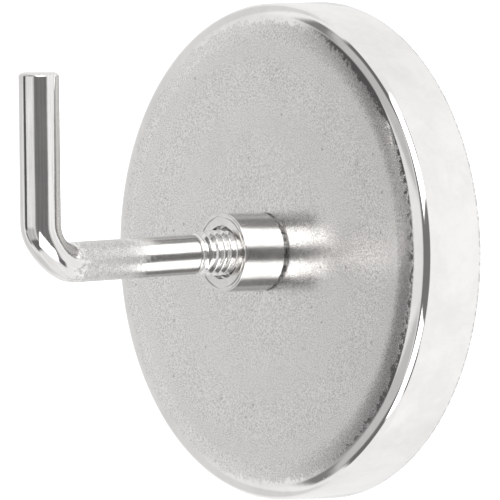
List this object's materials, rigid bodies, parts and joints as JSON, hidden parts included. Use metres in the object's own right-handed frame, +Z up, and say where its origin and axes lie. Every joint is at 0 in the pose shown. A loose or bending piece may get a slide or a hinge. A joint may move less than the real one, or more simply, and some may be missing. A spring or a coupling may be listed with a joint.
{
  "type": "magnet fishing magnet",
  "caption": "Flat round pot magnet with a threaded bush on its back and a screw-in right-angle hook.",
  "frame": {"origin": "centre of the magnetic contact face, level with the pot's rim", "axes": "+Y points out of the contact face into the steel it holds to, -Y runs along the bush and the hook's shank, +Z is up along the hook's arm"},
  "size_m": [0.063, 0.0487, 0.063],
  "materials": {
    "plated_shell": "tumbled satin zinc plate with a polished rim",
    "ferrite": "ground hard ferrite",
    "adhesive": "cured epoxy",
    "spacer": "moulded",
    "weld": "weld scale",
    "bright_bush": "turned and bright plated",
    "bright_wire": "drawn wire, bright plated"
  },
  "bodies": {
    "magnet": {"pot_shell": "plated_shell", "magnet_disc": "ferrite", "adhesive_bed": "adhesive", "spacer_ring": "spacer", "weld_seam": "weld", "threaded_bush": "bright_bush"},
    "hook": {"screw_hook": "bright_wire"}
  },
  "joints": [
    {"name": "hook_turn", "type": "hinge", "parent": "magnet", "child": "hook", "pos_m": [0, -0.0168, 0], "axis": [0, 1, 0], "continuous": true}
  ]
}
